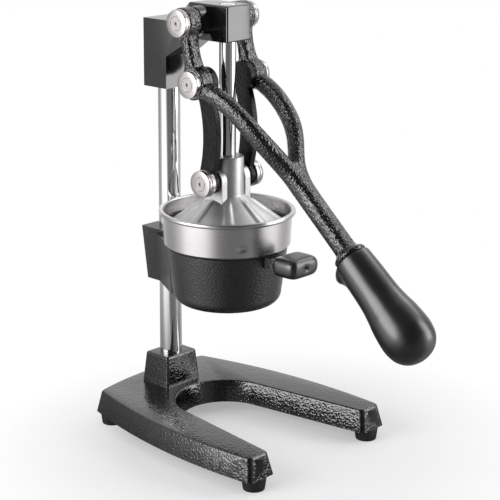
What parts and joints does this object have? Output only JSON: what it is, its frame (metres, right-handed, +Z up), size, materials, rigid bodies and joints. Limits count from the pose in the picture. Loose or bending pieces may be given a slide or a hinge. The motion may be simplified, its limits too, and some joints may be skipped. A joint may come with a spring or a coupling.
{
  "type": "lever citrus press",
  "caption": "Hand lever citrus juice press: horseshoe base, rear post, strainer cup over a juice cup, and a press cone on a guide rod driven by a forked lever through curved links.",
  "frame": {"origin": "on the counter, under the middle of the overall box", "axes": "+Z up, front with the lever grip towards -Y, X across"},
  "size_m": [0.1986, 0.3602, 0.4185],
  "materials": {
    "hammered": "glossy hammered enamel",
    "enamel": "smooth gloss black",
    "textured": "fine textured black",
    "link_black": "satin black",
    "plastic": "gloss black",
    "chrome": "polished",
    "steel": "turned and polished",
    "dark_steel": "blackened",
    "stainless": "spun",
    "aluminium": "satin casting",
    "rubber": "matte"
  },
  "bodies": {
    "frame": {"base_casting": "hammered", "foot_front_left": "rubber", "foot_front_right": "rubber", "foot_rear_left": "rubber", "foot_rear_right": "rubber", "foot_screws": "steel", "post": "chrome", "post_washer": "steel", "post_bolt": "steel", "head_casting": "enamel", "head_grub_screw": "dark_steel", "upper_pivot_pin": "steel", "upper_cap_left": "steel", "upper_cap_right": "steel", "upper_washer_left": "steel", "upper_washer_right": "steel", "cup_casting": "textured", "bracket_grub_screw": "dark_steel", "cup_grip": "plastic", "cup_grip_screw": "steel", "strainer_cup": "stainless", "reamer_cone": "aluminium"},
    "lever": {"lever_casting": "hammered", "lever_grip": "plastic"},
    "links": {"link_left": "link_black", "link_right": "link_black", "crank_pin_left": "steel", "crank_pin_right": "steel", "crank_cap_left": "steel", "crank_cap_right": "steel", "crank_washer_left": "steel", "crank_washer_right": "steel", "cone_pin_left": "steel", "cone_pin_right": "steel", "cone_cap_left": "steel", "cone_cap_right": "steel", "cone_washer_left": "steel", "cone_washer_right": "steel"},
    "press": {"press_cone": "aluminium", "guide_rod": "chrome", "ear_pin_left": "steel", "ear_pin_right": "steel"}
  },
  "joints": [
    {"name": "lever_swing", "type": "hinge", "parent": "frame", "child": "lever", "pos_m": [0, 0.07976, 0.4031], "axis": [-1, 0, 0], "range_deg": [0, 105]},
    {"name": "link_swing", "type": "hinge", "parent": "lever", "child": "links", "pos_m": [0, 0.06593, 0.34884], "axis": [-1, 0, 0], "range_deg": [-126.74, 0]},
    {"name": "press_slide", "type": "slide", "parent": "frame", "child": "press", "axis": [0, 0, 1], "range_m": [0, 0.0868]}
  ],
  "couplings": [
    {"joint": "link_swing", "follows": "lever_swing", "ratio": -1.2066},
    {"joint": "press_slide", "follows": "lever_swing", "m_per_rad": 0.047353}
  ]
}
